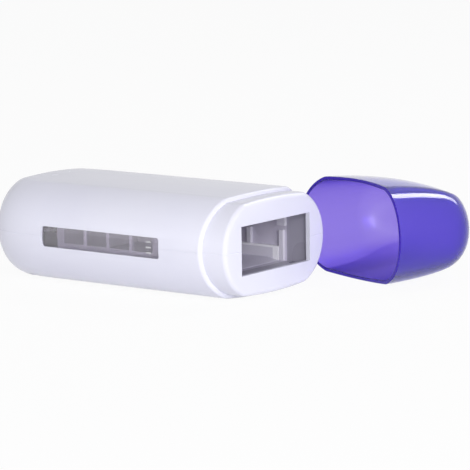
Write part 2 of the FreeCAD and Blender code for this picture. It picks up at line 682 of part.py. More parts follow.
def tube_along(label, points, radius):
    """Round lead along straight runs joined by tangent arcs, a Part::Feature."""
    def end_disc(point, way):
        return Part.Face(Part.Wire(Part.makeCircle(radius, point, way)))

    runs = []
    start = points[0]
    for before, corner, after in zip(points, points[1:], points[2:]):
        into = (corner - before).normalize()
        out = (after - corner).normalize()
        turn = into.getAngle(out)
        trim = BEND_SHARE * min((corner - before).Length, (after - corner).Length)
        first = corner - into * trim
        to_centre = trim / math.tan(turn / 2) / math.cos(turn / 2)
        centre = corner + (out - into).normalize() * to_centre
        runs.append(end_disc(start, into).extrude(first - start))
        runs.append(end_disc(first, into).revolve(centre, into.cross(out), math.degrees(turn)))
        start = corner + out * trim
    last_run = points[-1] - start
    runs.append(end_disc(start, last_run.normalize()).extrude(points[-1] - start))
    item = doc.addObject("Part::Feature", label)
    item.Shape = runs[0].multiFuse(runs[1:])
    return named(item, label)


def make_leads():
    """Insulated leads: inlet to fuse, fuse to thermostat, and inlet to element."""
    tail_x = number("inlet_set + inlet_depth + pin_tail - body_length")
    stub_x = tail_x + number("lead_stub")
    pin_y = number("pin_spacing / 2")
    behind_x = -number(f"{CRADLE_LENGTH} + lead_room")
    under_x = -number(f"{CRADLE_LENGTH} - lead_room * 2")
    middle_y = number("lead_middle")
    side_y = -number(INNER_HALF)
    fuse_y = number("fuse_offset")
    fuse_z = number(FUSE_Z)
    low_z = fuse_z - number("lead_dip")
    fuse_back = number(f"{PLATE_X} - fuse_length / 2")
    fuse_front = number(f"{PLATE_X} + fuse_length / 2")
    switch_x = number(f"{PLATE_X} + thermostat_length / 2")
    turn_x = switch_x + number("lead_room * 2")
    radius = number("lead_radius")
    tube_along("lead_live", [
        Vector(tail_x, pin_y, 0), Vector(stub_x, pin_y, 0),
        Vector(behind_x, middle_y, fuse_z), Vector(under_x, middle_y, fuse_z),
        Vector(fuse_back - number("fuse_length"), fuse_y, fuse_z),
        Vector(fuse_back, fuse_y, fuse_z)], radius)
    tube_along("lead_link", [
        Vector(fuse_front, fuse_y, fuse_z), Vector(turn_x, fuse_y, fuse_z),
        Vector(turn_x, 0, fuse_z), Vector(switch_x, 0, fuse_z)], radius)
    tube_along("lead_neutral", [
        Vector(tail_x, -pin_y, 0), Vector(stub_x, -pin_y, 0), Vector(behind_x, side_y, 0),
        Vector(behind_x, -middle_y * 2, low_z), Vector(under_x, -middle_y, low_z),
        Vector(under_x, -middle_y, number(CLAMP_BOTTOM))], radius)


def make_screws():
    """Two self-tapping screws, from below, that close the shells."""
    screws = []
    for side, word in SIDES:
        y = f"{side} * screw_spacing / 2"
        shank = cylinder(f"screw_shank_{word}", "screw_radius", "screw_length", SCREW_X, y,
                         "0 - head_seat")
        head = cylinder(f"screw_head_{word}", "head_radius", "head_height", SCREW_X, y,
                        "0 - head_seat - head_height")
        across = box(f"screw_cross_a_{word}", "head_radius * 1.1", "head_radius * 0.3",
                     "head_height", SCREW_X, y, "0 - head_seat - head_height")
        along = box(f"screw_cross_b_{word}", "head_radius * 0.3", "head_radius * 1.1",
                    "head_height", SCREW_X, y, "0 - head_seat - head_height")
        screws.append(cut(f"screw_{word}", fuse(f"screw_whole_{word}", shank, head), across,
                          along))
    group = doc.addObject("Part::Compound", "shell_screws")
    group.Links = screws
    return named(group, "shell_screws")


def cap_form(name, inset):
    """The cap's outside, or its inside when moved inwards, with its rim at X = 0."""
    length = f"( cap_length - {inset} )"
    plan = f"( cap_plan_round - {inset} )"
    edge = f"( cap_edge_round - {inset} )"
    whole = closing(length, edge, "cap_edge_power")
    sections = []
    for count, share in enumerate(CAP_SHARES):
        distance = f"{length} * {share}"
        sections.append(section(
            f"{name}_section{count}", f"{length} - {distance}", inset,
            closing(distance, plan, "cap_plan_power"),
            f"{closing(distance, edge, 'cap_edge_power')} / {whole}"))
    return rounded_end(name, sections, CAP_TURN)


def make_cap():
    """Translucent cap, hollow, laid on its own wide face beside the heater."""
    outside = cap_form("cap_outside", "0")
    inside = cap_form("cap_inside", "cap_wall")
    shell = cut("cap", outside, inside, bowed_block("cap_bow", "0 - joint_bow"))
    shell.Placement = Placement(Vector(), Rotation(Vector(0, 0, 1), number("cap_turn")))
    # The tallest part of the bowed rim is a little lower than the full section.
    tallest, whole = [closing(distance, "cap_edge_round", "cap_edge_power")
                      for distance in ("( cap_length - joint_bow )", "cap_length")]
    bind(shell, at_x="cap_along", at_y="cap_across",
         at_z=f"body_height / 2 * ( {tallest} / {whole} - 1 )")
    shell.setExpression(".Placement.Rotation.Angle", full("cap_turn"))
    return named(shell, "cap")


make_upper_shell()
make_lower_shell()
make_window_pane()
make_cradle()
make_heat_plate()
make_sandwich()
make_nuts()
make_thermostat()
make_thermal_fuse()
make_inlet()
make_leads()
make_screws()
make_cap()
doc.recompute()

for item in doc.Objects:
    if "Invalid" in item.State or "Error" in item.State:
        raise RuntimeError(f"{item.Name} failed: {item.State}")
os.makedirs("parts", exist_ok=True)
for piece in PIECES:
    if piece.Shape.isNull() or not piece.Shape.isValid():
        raise RuntimeError(f"{piece.Label} has no valid shape")
    piece.Shape.exportStep(f"parts/{piece.Label}.step")
    box_of = piece.Shape.BoundBox
    print(f"{piece.Label}: {len(piece.Shape.Solids)} solid(s), "
          f"{box_of.XLength:.1f} x {box_of.YLength:.1f} x {box_of.ZLength:.1f} mm")
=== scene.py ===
# %% [markdown]
# # Roll-on wax heater
#
# The heater is a white moulded handheld that lies on one wide face, with its translucent violet
# cap off beside it.  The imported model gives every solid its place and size.  This script dresses
# them: it sets the camera, a pale studio, the moulded and metal finishes, and the pieces that
# deserve a finer mesh than the solids have.

# %% Load the fixed frame
import json
import math

import bmesh
import bpy
from mathutils import Matrix, Vector
from mathutils.bvhtree import BVHTree


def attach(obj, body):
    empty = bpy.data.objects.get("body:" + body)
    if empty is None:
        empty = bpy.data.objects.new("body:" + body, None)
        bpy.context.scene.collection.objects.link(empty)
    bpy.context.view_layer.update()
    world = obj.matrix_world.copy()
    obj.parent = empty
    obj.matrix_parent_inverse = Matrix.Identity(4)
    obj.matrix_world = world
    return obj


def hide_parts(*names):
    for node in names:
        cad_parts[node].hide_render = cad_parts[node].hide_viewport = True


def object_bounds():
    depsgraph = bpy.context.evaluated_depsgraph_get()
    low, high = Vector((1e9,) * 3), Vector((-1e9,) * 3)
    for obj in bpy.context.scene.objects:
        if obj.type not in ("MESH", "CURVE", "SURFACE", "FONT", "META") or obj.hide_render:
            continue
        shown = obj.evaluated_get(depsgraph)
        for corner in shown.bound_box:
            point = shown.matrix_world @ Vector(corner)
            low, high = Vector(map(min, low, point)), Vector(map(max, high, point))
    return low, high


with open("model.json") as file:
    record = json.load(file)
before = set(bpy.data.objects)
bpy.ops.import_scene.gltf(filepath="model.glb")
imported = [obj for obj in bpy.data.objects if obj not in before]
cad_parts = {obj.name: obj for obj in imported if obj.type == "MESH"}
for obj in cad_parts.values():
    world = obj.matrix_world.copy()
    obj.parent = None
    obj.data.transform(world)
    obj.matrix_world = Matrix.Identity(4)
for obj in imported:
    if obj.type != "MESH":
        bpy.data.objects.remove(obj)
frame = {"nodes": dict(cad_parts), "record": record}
cad_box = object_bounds()
nodes = frame["nodes"]
slots = {part["node"]: part["material_slot"] for part in frame["record"]["subparts"]}
MM = 0.001

# %% [markdown]
# ## Camera
#
# A product shot of a small object is taken from far away with a long lens, so that its lines stay
# nearly parallel.  The camera looks at a point near the mouth: turned about Z, raised a little and
# tipped by less than a degree.  A camera can be aimed with a Track To constraint, but here its
# place is worked out from those angles and a distance, so that each of them can be read and set.

# %% Place the camera
IMAGE_SIDE = 470
SENSOR_MM = 36.0
FOCAL_PIXELS = 2924.92
VIEW_TURN = math.radians(37.5123)
VIEW_RISE = math.radians(9.036)
VIEW_TIP = math.radians(-0.9019)
VIEW_DISTANCE = 1.41478
AIM_RIGHT = -0.01997
AIM_UP = 0.00432
CLIP_NEAR = 0.05
CLIP_FAR = 20


def into_scene(name, data):
    """New object for a mesh, lamp or camera, linked to the scene."""
    item = bpy.data.objects.new(name, data)
    bpy.context.scene.collection.objects.link(item)
    return item


def camera_axes():
    """Right, up and forward of the camera in the row frame."""
    forward = Vector((-math.sin(VIEW_TURN) * math.cos(VIEW_RISE),
                      math.cos(VIEW_TURN) * math.cos(VIEW_RISE), -math.sin(VIEW_RISE)))
    level = Vector((math.cos(VIEW_TURN), math.sin(VIEW_TURN), 0))
    rise = level.cross(forward)
    right = level * math.cos(VIEW_TIP) + rise * math.sin(VIEW_TIP)
    up = rise * math.cos(VIEW_TIP) - level * math.sin(VIEW_TIP)
    return right, up, forward


right, up, forward = camera_axes()
lens = bpy.data.cameras.new("studio_camera")
lens.sensor_width = SENSOR_MM
lens.lens = SENSOR_MM * FOCAL_PIXELS / IMAGE_SIDE
lens.clip_start = CLIP_NEAR
lens.clip_end = CLIP_FAR
camera = into_scene("studio_camera", lens)
turned = Matrix((right, up, -forward)).transposed().to_4x4()
place = right * AIM_RIGHT + up * AIM_UP - forward * VIEW_DISTANCE
camera.matrix_world = Matrix.Translation(place) @ turned
bpy.context.scene.camera = camera
print(f"camera {lens.lens:.1f} mm at {tuple(round(v, 3) for v in place)}")

# %% [markdown]
# ## Studio
#
# White plastic needs white surroundings.  More lamps would make the background white, but they
# would wash the heater out as well.  So the world is a plain pale dome for what lights the object,
# and pure white for what the camera or a reflection sees, which the Light Path node tells apart.
# The floor does the same, and keeps a part of its own shading, so that the object still stands on
# it.  Seen through the violet cap it keeps more of that shading, because the table under the cap
# is dim.

# %% Tools for node trees
WHITE = (1, 1, 1, 1)


def add_node(tree, kind, x, y, **values):
    """Node of a tree at a place on its sheet, with its properties and inputs set."""
    node = tree.nodes.new(kind)
    node.location = (x, y)
    for name, value in values.items():
        if name in node.inputs:
            node.inputs[name].default_value = value
        else:
            setattr(node, name, value)
    return node


def empty_tree(owner):
    """Node tree of a world or a material, with nothing in it yet."""
    owner.use_nodes = True
    owner.node_tree.nodes.clear()
    return owner.node_tree


def seen_directly(tree, x, y, through=1.0):
    """Socket that is 1 for camera and glossy rays, through for transmission rays, else 0."""
    path = add_node(tree, "ShaderNodeLightPath", x, y)
    either = add_node(tree, "ShaderNodeMath", x + 200, y, operation="MAXIMUM")
    dimmed = add_node(tree, "ShaderNodeMath", x + 200, y - 200, operation="MULTIPLY_ADD")
    seen = add_node(tree, "ShaderNodeMath", x + 400, y, operation="MULTIPLY")
    tree.links.new(path.outputs["Is Camera Ray"], either.inputs[0])
    tree.links.new(path.outputs["Is Glossy Ray"], either.inputs[1])
    tree.links.new(path.outputs["Is Transmission Ray"], dimmed.inputs[0])
    dimmed.inputs[1].default_value = through - 1
    dimmed.inputs[2].default_value = 1.0
    tree.links.new(either.outputs[0], seen.inputs[0])
    tree.links.new(dimmed.outputs[0], seen.inputs[1])
    return seen.outputs[0]


def mixed_out(tree, sheet_kind, share, lit, bright):
    """Output of a tree that shows the lit shader where share is 0 and the bright one at 1."""
    choice = add_node(tree, "ShaderNodeMixShader", 250, 0)
    sheet = add_node(tree, sheet_kind, 450, 0)
    for place, socket in enumerate((share, lit.outputs[0], bright.outputs[0])):
        tree.links.new(socket, choice.inputs[place])
    tree.links.new(choice.outputs[0], sheet.inputs[0])


print("node tools ready")

# %% World
DOME_COLOUR = (0.88, 0.88, 0.93, 1)
DOME_STRENGTH = 0.30

world = bpy.data.worlds.new("pale_dome")
bpy.context.scene.world = world
tree = empty_tree(world)
dome = add_node(tree, "ShaderNodeBackground", 0, 100, Color=DOME_COLOUR, Strength=DOME_STRENGTH)
white = add_node(tree, "ShaderNodeBackground", 0, -100, Color=WHITE, Strength=1.0)
mixed_out(tree, "ShaderNodeOutputWorld", seen_directly(tree, -700, 300), dome, white)
print("dome strength:", DOME_STRENGTH)

# %% Floor
FLOOR_COLOUR = (0.94, 0.94, 0.95, 1)
FLOOR_SHADE = 0.06
FLOOR_SHADE_THROUGH = 0.13
FLOOR_REACH = 3.0

floor_stuff = bpy.data.materials.new("studio_floor")
tree = empty_tree(floor_stuff)
paint = add_node(tree, "ShaderNodeBsdfDiffuse", 0, 100, Color=FLOOR_COLOUR)
glow = add_node(tree, "ShaderNodeEmission", 0, -100, Color=WHITE, Strength=1.0)
share = add_node(tree, "ShaderNodeMath", 50, 300, operation="MULTIPLY")
share.inputs[1].default_value = 1 - FLOOR_SHADE
tree.links.new(seen_directly(tree, -700, 300, 1 - FLOOR_SHADE_THROUGH), share.inputs[0])
mixed_out(tree, "ShaderNodeOutputMaterial", share.outputs[0], paint, glow)

floor_z = cad_box[0][2]
mesh = bpy.data.meshes.new("studio_floor")
corners = [(x * FLOOR_REACH, y * FLOOR_REACH, floor_z) for x, y in
           ((-1, -1), (1, -1), (1, 1), (-1, 1))]
mesh.from_pydata(corners, [], [(0, 1, 2, 3)])
mesh.materials.append(floor_stuff)
into_scene("studio_floor", mesh)
print(f"floor at z = {floor_z / MM:.1f} mm")

# %% [markdown]
# ## Lamps
#
# Two large soft boxes stand low in front, one on each side: they make the sides and the mouth the
# brightest and leave the wide face a shade darker.  They are kept out of reflections, where they
# would wash out the glossy faces.  Two small strips hang behind the cap, the second one lower.
# They add little light, but they are what the rolled edges mirror: the first gives the bright
# streak along the cap's edge, and the second lets it run on towards the closed end.

# %% Soft boxes
SOFT_BOXES = {
    # name: (azimuth in degrees, height in m, distance in m, width in m, depth in m, watts)
    "front_right": (-34.0, 0.36, 1.35, 1.2, 0.7, 17.6),
    "front_left": (-116.0, 0.26, 1.3, 1.2, 0.5, 3.8),
    "strip_behind": (77.5, 1.03, 0.993, 0.26, 0.30, 2.6),
    "strip_fade": (77.5, 0.78, 1.2, 0.26, 0.34, 1.5),
}
LAMP_AIM = Vector((-0.04, 0.02, 0))


def soft_box(name, azimuth, height, distance, width, depth, watts):
    """Rectangular lamp that looks at the object from an azimuth and a height."""
    lamp = bpy.data.lights.new(name, "AREA")
    lamp.shape = "RECTANGLE"
    lamp.size = width
    lamp.size_y = depth
    lamp.energy = watts
    item = into_scene(name, lamp)
    item.visible_glossy = name.startswith("strip")
    angle = math.radians(azimuth)
    spot = Vector((math.cos(angle) * distance, math.sin(angle) * distance, height))
    turned = (LAMP_AIM - spot).to_track_quat("-Z", "Y").to_matrix().to_4x4()
    item.matrix_world = Matrix.Translation(spot) @ turned


for name, values in SOFT_BOXES.items():
    soft_box(name, *values)
print("soft boxes:", ", ".join(SOFT_BOXES))

# %% [markdown]
# ## Shared effect
#
# One effect comes back in every finish: the slow drift of colour and gloss that any moulded or
# pressed part has, with a fine skin for the bump.  It could be drawn anew in each material.  As a
# shader node group with named inputs, one network serves them all with their own values.

# %% Drift of colour and gloss
GROUP_SOCKETS = {"colour": "NodeSocketColor", "value": "NodeSocketFloat"}
DRIFT_INPUTS = (
    ("Light", "colour", (0.8, 0.8, 0.8, 1)), ("Dark", "colour", (0.7, 0.7, 0.7, 1)),
    ("Patch Scale", "value", 20.0), ("Skin Scale", "value", 900.0),
    ("Gloss Low", "value", 0.2), ("Gloss High", "value", 0.3),
)
DRIFT_OUTPUTS = (("Colour", "colour"), ("Roughness", "value"), ("Skin", "value"))
PATCH_DETAIL = 3.0
SKIN_DETAIL = 2.0
PATCH_RANGE = (0.35, 0.65)


def new_group(name, inputs, outputs):
    """Empty shader group; inputs are (name, kind, value) and outputs (name, kind)."""
    group = bpy.data.node_groups.new(name, "ShaderNodeTree")
    for title, kind, value in inputs:
        socket = group.interface.new_socket(title, in_out="INPUT", socket_type=GROUP_SOCKETS[kind])
        socket.default_value = value
    for title, kind in outputs:
        group.interface.new_socket(title, in_out="OUTPUT", socket_type=GROUP_SOCKETS[kind])
    start = add_node(group, "NodeGroupInput", -900, 0)
    end = add_node(group, "NodeGroupOutput", 600, 0)
    return group, start, end


def surface_drift():
    """Slow change of colour and gloss, with a fine skin that goes into a bump."""
    group, start, end = new_group("surface_drift", DRIFT_INPUTS, DRIFT_OUTPUTS)
    place = add_node(group, "ShaderNodeTexCoord", -900, 300)
    patch = add_node(group, "ShaderNodeTexNoise", -600, 300, Detail=PATCH_DETAIL)
    skin = add_node(group, "ShaderNodeTexNoise", -600, -200, Detail=SKIN_DETAIL)
    for texture, title in ((patch, "Patch Scale"), (skin, "Skin Scale")):
        group.links.new(place.outputs["Object"], texture.inputs["Vector"])
        group.links.new(start.outputs[title], texture.inputs["Scale"])
    spread = add_node(group, "ShaderNodeMapRange", -350, 300)
    spread.inputs["From Min"].default_value, spread.inputs["From Max"].default_value = PATCH_RANGE
    group.links.new(patch.outputs["Fac"], spread.inputs["Value"])
    mix = add_node(group, "ShaderNodeMix", -100, 300, data_type="RGBA")
    group.links.new(spread.outputs["Result"], mix.inputs["Factor"])
    group.links.new(start.outputs["Light"], mix.inputs["A"])
    group.links.new(start.outputs["Dark"], mix.inputs["B"])
    gloss = add_node(group, "ShaderNodeMapRange", -100, 0)
    group.links.new(patch.outputs["Fac"], gloss.inputs["Value"])
    group.links.new(start.outputs["Gloss Low"], gloss.inputs["To Min"])
    group.links.new(start.outputs["Gloss High"], gloss.inputs["To Max"])
    group.links.new(mix.outputs["Result"], end.inputs["Colour"])
    group.links.new(gloss.outputs["Result"], end.inputs["Roughness"])
    group.links.new(skin.outputs["Fac"], end.inputs["Skin"])
    return group


DRIFT = surface_drift()
print("group:", DRIFT.name)

# %% [markdown]
# ## Finishes
#
# The heater has three kinds of finish: opaque mouldings, metal, and clear mouldings.  All of them
# are the Principled shader, fed by the group above.  A finish takes two colours and two gloss
# values, between which the surface drifts, and what else the shader needs.  The colours are
# written as they should render, since the lamps light the scene at a plain level.

# %% How a finish is made


def finish(name, light, dark, gloss, patch=20.0, skin_depth=0.0, absorbs=None, **shader):
    """Material on the Principled shader whose colour, gloss and bump come from surface_drift."""
    material = bpy.data.materials.new(name)
    tree = empty_tree(material)
    sheet = add_node(tree, "ShaderNodeOutputMaterial", 700, 0)
    plastic = add_node(tree, "ShaderNodeBsdfPrincipled", 400, 0, **shader)
    drift = add_node(tree, "ShaderNodeGroup", -100, 0, node_tree=DRIFT)
    for title, value in (("Light", (*light, 1)), ("Dark", (*dark, 1)), ("Patch Scale", patch),
                         ("Gloss Low", gloss[0]), ("Gloss High", gloss[1])):
        drift.inputs[title].default_value = value
    tree.links.new(drift.outputs["Colour"], plastic.inputs["Base Color"])
    tree.links.new(drift.outputs["Roughness"], plastic.inputs["Roughness"])
    if skin_depth:
        bump = add_node(tree, "ShaderNodeBump", 150, -250, Distance=skin_depth)
        tree.links.new(drift.outputs["Skin"], bump.inputs["Height"])
        tree.links.new(bump.outputs["Normal"], plastic.inputs["Normal"])
    if absorbs:
        colour, density = absorbs
        inside = add_node(tree, "ShaderNodeVolumeAbsorption", 400, -450, Color=(*colour, 1),
                          Density=density)
        tree.links.new(inside.outputs[0], sheet.inputs["Volume"])
    tree.links.new(plastic.outputs[0], sheet.inputs[0])
    return material


print("finish ready")

# %% Shells, cradle and the parts inside
shell_white = finish("shell_white", (0.80, 0.80, 0.90), (0.775, 0.775, 0.885), (0.20, 0.30),
                     skin_depth=0.02 * MM)
cradle_grey = finish("cradle_grey", (0.60, 0.57, 0.68), (0.53, 0.50, 0.61), (0.26, 0.40))
# Painted shade: the collar behind the mouth gets a darker grey for the shade of the shells.
collar_painted_shade = finish("collar_painted_shade", (0.37, 0.355, 0.43), (0.32, 0.31, 0.385), (0.22, 0.36))
guide_grey = finish("guide_grey", (0.68, 0.66, 0.75), (0.62, 0.60, 0.69), (0.30, 0.45))
plate_metal = finish("plate_metal", (0.76, 0.74, 0.83), (0.68, 0.66, 0.75), (0.35, 0.55),
                     Metallic=0.2)
# Painted highlight: a lighter finish for the lip and end pad of the plate, which catch the most
# light.
plate_painted_highlight = finish("plate_painted_highlight", (0.95, 0.94, 0.98), (0.88, 0.87, 0.93), (0.30, 0.45),
                    Metallic=0.1)
# Painted shade: a darker finish for the plate floor under the raised sides.
plate_floor_painted_shade = finish("plate_floor_painted_shade", (0.66, 0.64, 0.74), (0.58, 0.56, 0.66), (0.35, 0.50),
                     Metallic=0.2)
mica_sheet = finish("mica_sheet", (0.62, 0.57, 0.48), (0.50, 0.45, 0.36), (0.30, 0.55), patch=90)
zinc_steel = finish("zinc_steel", (0.60, 0.61, 0.64), (0.50, 0.51, 0.55), (0.28, 0.42),
                    Metallic=1.0)
dark_plastic = finish("dark_plastic", (0.030, 0.030, 0.034), (0.022, 0.022, 0.026), (0.30, 0.45))
pin_metal = finish("pin_metal", (0.80, 0.74, 0.50), (0.66, 0.60, 0.40), (0.18, 0.30),
                   Metallic=1.0)
lead_skin = finish("lead_skin", (0.70, 0.52, 0.52), (0.56, 0.42, 0.42), (0.45, 0.60))
mark_pale = finish("mark_pale", (0.56, 0.55, 0.60), (0.50, 0.49, 0.54), (0.25, 0.40))
print("opaque finishes ready, from", shell_white.name, "to", mark_pale.name)

# %% [markdown]
# The window and the cap are clear mouldings.  The window is thin, so a slightly tinted surface
# does.  The cap is deeper in colour wherever more of it lies in the line of sight, so its violet
# sits in the wall as absorption, and its surface has next to no colour.  Its inner face comes
# from a duller side of the mould than its outer one, and the mesh says which face is which.

# %% Window and cap
INNER_DULLNESS = 0.22


def duller_inside(material, extra):
    """Adds to the roughness where the mesh's inside attribute is 1."""
    tree = material.node_tree
    plastic = next(node for node in tree.nodes if node.type == "BSDF_PRINCIPLED")
    drift = next(node for node in tree.nodes if node.type == "GROUP")
    inner = add_node(tree, "ShaderNodeAttribute", -100, -400, attribute_name="inside")
    total = add_node(tree, "ShaderNodeMath", 150, -100, operation="MULTIPLY_ADD")
    tree.links.new(inner.outputs["Fac"], total.inputs[0])
    total.inputs[1].default_value = extra
    tree.links.new(drift.outputs["Roughness"], total.inputs[2])
    tree.links.new(total.outputs[0], plastic.inputs["Roughness"])


pane_clear = finish("pane_clear", (0.95, 0.92, 1.0), (0.92, 0.89, 0.97), (0.02, 0.06),
                    **{"Transmission Weight": 0.90, "IOR": 1.49})
cap_violet = finish("cap_violet", (0.99, 0.99, 1.0), (0.97, 0.97, 1.0), (0.07, 0.11),
                    absorbs=((0.297, 0.088, 0.915), 840.0),
                    **{"Transmission Weight": 1.0, "IOR": 1.55})
duller_inside(cap_violet, INNER_DULLNESS)
cap_rim = finish("cap_rim", (0.050, 0.018, 0.46), (0.040, 0.014, 0.40), (0.30, 0.40),
                 **{"Specular IOR Level": 0.3})
print("clear finishes:", pane_clear.name, cap_violet.name)

# %% [markdown]
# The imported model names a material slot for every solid, so the finishes are handed out by slot.
# That is shorter than a line for each solid, and none can be forgotten.  The parts inside get a
# real finish as well: mica round the element, zinc-plated steel for clamp, clip and fasteners,
# a dark moulding for thermostat and inlet, and silicone skin for the leads.

# %% Finish of every solid
FINISHES = {
    "shell_plastic": shell_white, "window_plastic": pane_clear, "cap_plastic": cap_violet,
    "cradle_plastic": cradle_grey, "plate_aluminium": plate_metal, "mica": mica_sheet,
    "element_ribbon": zinc_steel, "steel": zinc_steel, "thermostat_case": dark_plastic,
    "inlet_plastic": dark_plastic, "pin_brass": pin_metal, "lead_sleeve": lead_skin,
}
for node, slot in slots.items():
    nodes[node].data.materials.clear()
    nodes[node].data.materials.append(FINISHES[slot])
print("slots with a finish:", len(FINISHES))

# %% [markdown]
# ## Shells
#
# The two half shells meet in a plane at mid thickness.  A moulder breaks the outer corners of such
# a joint, so that a fine groove runs round the heater.  A Bevel modifier could break them, but it
# would take every other sharp edge as well.  So each shell is a merged copy of its solid with
# smooth shading: a cut just off the joint plane gives the groove its own row of points, and the
# row on the plane moves inwards.

# %% Copies of solids
ON_PLANE = 0.001 * MM
SMOOTH_ANGLE = math.radians(32)


def as_piece(name, mesh, node, body="heater"):
    """Object for a mesh that stands for a CAD node and rides with its body."""
    item = into_scene(name, mesh)
    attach(item, body)
    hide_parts(node)


def merged_copy(node):
    """The CAD node's mesh with its loose triangles joined, as a bmesh."""
    work = bmesh.new()
    work.from_mesh(nodes[node].data)
    bmesh.ops.remove_doubles(work, verts=work.verts, dist=ON_PLANE)
    return work


def split_at(work, place, across):
    """Cuts the faces along a plane, so that edges run there."""
    parts = work.verts[:] + work.edges[:] + work.faces[:]
    bmesh.ops.bisect_plane(work, geom=parts, plane_co=place, plane_no=across)


def finished_mesh(work, name, *materials, crease=None):
    """Plain smooth mesh from a bmesh, sharp at real corners and at the edges that crease picks."""
    work.edges.index_update()
    picked = [edge.index for edge in work.edges if crease and crease(edge)]
    mesh = bpy.data.meshes.new(name)
    work.to_mesh(mesh)
    work.free()
    # The solid's flat normals come along with the copy, and would hide the smooth shading.
    if "custom_normal" in mesh.attributes:
        mesh.attributes.remove(mesh.attributes["custom_normal"])
    mesh.shade_smooth()
    mesh.set_sharp_from_angle(angle=SMOOTH_ANGLE)
    sharp = (mesh.attributes.get("sharp_edge")
             or mesh.attributes.new("sharp_edge", "BOOLEAN", "EDGE"))
    for index in picked:
        sharp.data[index].value = True
    for material in materials:
        mesh.materials.append(material)
    return mesh


print("copies ready")

# %% Groove along the joint
GROOVE_HEIGHT = 0.22 * MM
GROOVE_DEPTH = 0.16 * MM
LOOK_IN = 0.05
LOOK_OFF = 0.02 * MM
UPRIGHT = 0.5
SHORTEST_SUM = 0.1


def outward_of(vert, tree):
    """Level direction of the outer faces round a point; a look from an inner face hits a wall."""
    outward = Vector()
    for face in vert.link_faces:
        spot = vert.co.lerp(face.calc_center_median(), LOOK_IN) + face.normal * LOOK_OFF
        if abs(face.normal.z) < UPRIGHT and tree.ray_cast(spot, face.normal)[0] is None:
            outward += face.normal
    outward.z = 0
    return outward


def cut_groove(work, side):
    """Fine groove along the joint plane of a half shell that lies on that side of it."""
    split_at(work, (0, 0, side * GROOVE_HEIGHT), (0, 0, 1))
    work.normal_update()
    tree = BVHTree.FromBMesh(work)
    joint = [(vert, outward_of(vert, tree)) for vert in work.verts if abs(vert.co.z) <= ON_PLANE]
    moves = [(vert, outward) for vert, outward in joint if outward.length > SHORTEST_SUM]
    for vert, outward in moves:
        vert.co -= outward.normalized() * GROOVE_DEPTH
    return len(moves)


def beside_groove(edge):
    """True for an edge that runs along the cut just off the joint plane."""
    return all(abs(abs(vert.co.z) - GROOVE_HEIGHT) < ON_PLANE for vert in edge.verts)


for node, side in (("upper_shell", 1), ("lower_shell", -1)):
    work = merged_copy(node)
    count = cut_groove(work, side)
    mesh = finished_mesh(work, f"{node}_moulding", shell_white, crease=beside_groove)
    as_piece(f"{node}_moulding", mesh, node)
    print(f"{node}: {count} points of the joint moved in")

# %% [markdown]
# ## Cradle and heating plate
#
# Inside the mouth a grey channel guides the wax cartridge.  The posts and hoods that the cartridge
# rubs on are lighter than its walls, and the collar behind the mouth is painted a darker grey for
# the shade that the shells cast there.  They could be three pieces, but the real one is a single
# moulding.  So the mesh has three finishes, one of them painted shade, and each face picks one of
# them by where it lies.

# %% Cradle with lighter guides and a collar in painted shade
GUIDE_BOX = (29.5 * MM, 13.7 * MM)
COLLAR_START = -15.55 * MM
GUIDES, COLLAR = 1, 2

work = merged_copy("cradle")
split_at(work, (COLLAR_START, 0, 0), (1, 0, 0))
# Faces behind the mouth outside the guides take the collar's painted shade.
for face in work.faces:
    middle = face.calc_center_median()
    if abs(middle.y) < GUIDE_BOX[0] and abs(middle.z) < GUIDE_BOX[1]:
        face.material_index = GUIDES
    elif middle.x > COLLAR_START:
        face.material_index = COLLAR
mesh = finished_mesh(work, "cradle_moulding", cradle_grey, guide_grey, collar_painted_shade)
as_piece("cradle_moulding", mesh, "cradle")
print("cradle faces:", len(mesh.polygons))

# %% [markdown]
# The heating plate is pressed from aluminium sheet.  Its front edge is ramped, so that the
# cartridge slides up on it.  The upper lip of its sides and the end pad at the front, which catch
# the most light, get a lighter finish as a painted highlight, and its floor gets a darker one as
# painted shade.  The ramp is a row of points that moves down.  Cuts at the lip and at the end pad
# give the painted highlight a straight border.

# %% Plate with a ramped front edge
RAMP_LENGTH = 7.0 * MM
RAMP_EDGE = 0.2 * MM
PLATE_FLOOR = -13.8 * MM
PLATE_WALL = 1.5 * MM
LIP_Z = -7.5 * MM
END_PAD = 3.2 * MM
SAME_HEIGHT = 0.05 * MM
PAINTED_HIGHLIGHT, FLOOR = 1, 2

work = merged_copy("heat_plate")
front = max(vert.co.x for vert in work.verts)
split_at(work, (front - RAMP_LENGTH, 0, 0), (1, 0, 0))
ramped = [vert for vert in work.verts if abs(vert.co.x - front) < ON_PLANE
          and abs(vert.co.z - PLATE_FLOOR - PLATE_WALL) < SAME_HEIGHT]
for vert in ramped:
    vert.co.z = PLATE_FLOOR + RAMP_EDGE
split_at(work, (0, 0, LIP_Z), (0, 0, 1))
split_at(work, (front - END_PAD, 0, 0), (1, 0, 0))
# Floor faces take the painted shade, and the lip and the end pad take the painted highlight.
for face in work.faces:
    middle = face.calc_center_median()
    if middle.z < PLATE_FLOOR + PLATE_WALL + ON_PLANE:
        face.material_index = FLOOR
    elif middle.z > LIP_Z or middle.x > front - END_PAD:
        face.material_index = PAINTED_HIGHLIGHT
print("points of the front edge lowered:", len(ramped))
mesh = finished_mesh(work, "heat_plate_pressing", plate_metal, plate_painted_highlight, plate_floor_painted_shade)
as_piece("heat_plate_pressing", mesh, "heat_plate")

# %% [markdown]
# ## Cap
#
# The cap is a thin translucent shell that closes to a rounded end.  Its cross-section has eight
# tangent arcs, and both the width and the thickness close by the same rule with other values.  A
# shape that follows a rule suits Geometry Nodes: a grid is bent into the shape by formulas, and
# every size stays an input.  A small class writes the formulas as ordinary arithmetic.

# %% Arithmetic on node sockets
SHEET_COLUMNS = 12


